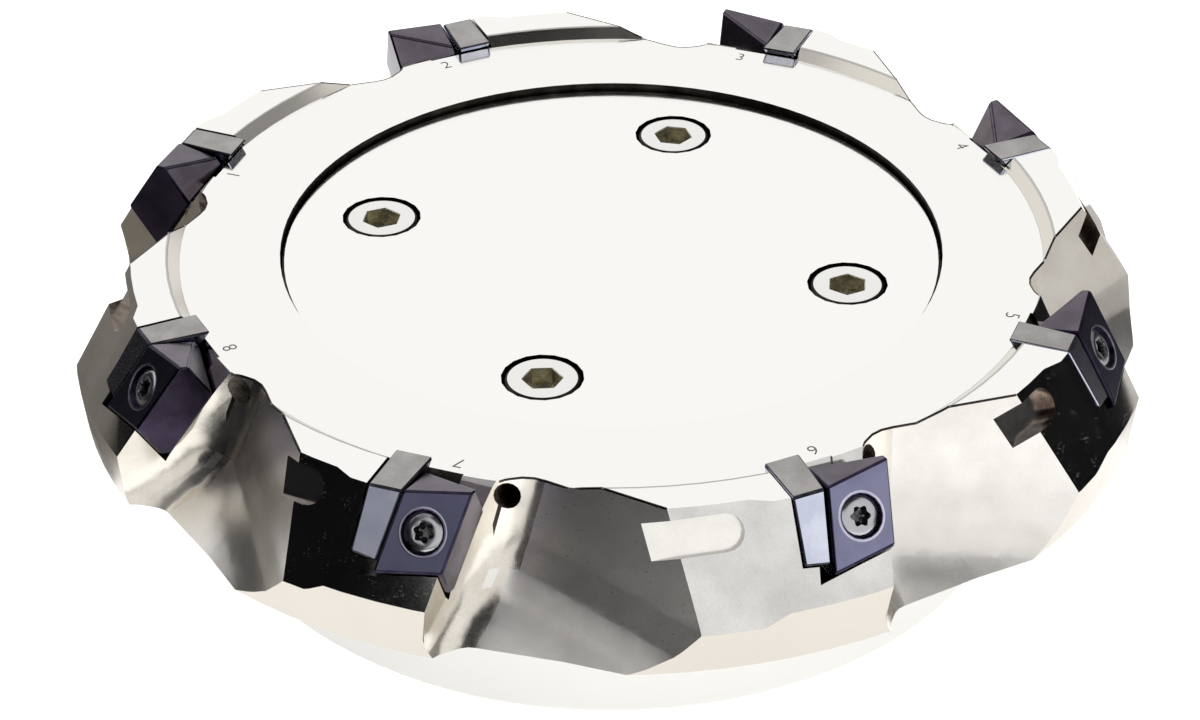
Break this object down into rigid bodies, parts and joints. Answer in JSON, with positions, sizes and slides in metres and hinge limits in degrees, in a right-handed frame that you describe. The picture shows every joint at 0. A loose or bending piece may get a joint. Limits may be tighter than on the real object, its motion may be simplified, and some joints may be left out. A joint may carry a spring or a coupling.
{
  "type": "tangential milling cutter",
  "caption": "Indexable tangential face mill: plated steel body with gullets, pockets holding coated inserts and shims, and a screwed coolant cap.",
  "frame": {"origin": "centre of the mounting face, on the spindle axis", "axes": "+Z along the spindle axis, from the mounting face towards the cutting edges; +X through the first cap screw"},
  "size_m": [0.2244, 0.2244, 0.0629],
  "materials": {
    "body": "bright nickel plating over milled steel",
    "cap": "ground and plated steel",
    "cap_screw": "bright plated steel",
    "insert": "carbide with a violet-grey coating",
    "shim": "bare ground carbide",
    "insert_screw": "dark oiled steel",
    "shim_screw": "dark oiled steel"
  },
  "bodies": {
    "root": {"cutter_body": "body", "coolant_cap": "cap", "cap_screw_1": "cap_screw", "cap_screw_2": "cap_screw", "cap_screw_3": "cap_screw", "cap_screw_4": "cap_screw", "insert_1": "insert", "insert_2": "insert", "insert_3": "insert", "insert_4": "insert", "insert_5": "insert", "insert_6": "insert", "insert_7": "insert", "insert_8": "insert", "shim_1": "shim", "shim_2": "shim", "shim_3": "shim", "shim_4": "shim", "shim_5": "shim", "shim_6": "shim", "shim_7": "shim", "shim_8": "shim", "insert_screw_1": "insert_screw", "insert_screw_2": "insert_screw", "insert_screw_3": "insert_screw", "insert_screw_4": "insert_screw", "insert_screw_5": "insert_screw", "insert_screw_6": "insert_screw", "insert_screw_7": "insert_screw", "insert_screw_8": "insert_screw", "shim_screw_1": "shim_screw", "shim_screw_2": "shim_screw", "shim_screw_3": "shim_screw", "shim_screw_4": "shim_screw", "shim_screw_5": "shim_screw", "shim_screw_6": "shim_screw", "shim_screw_7": "shim_screw", "shim_screw_8": "shim_screw"}
  },
  "joints": []
}
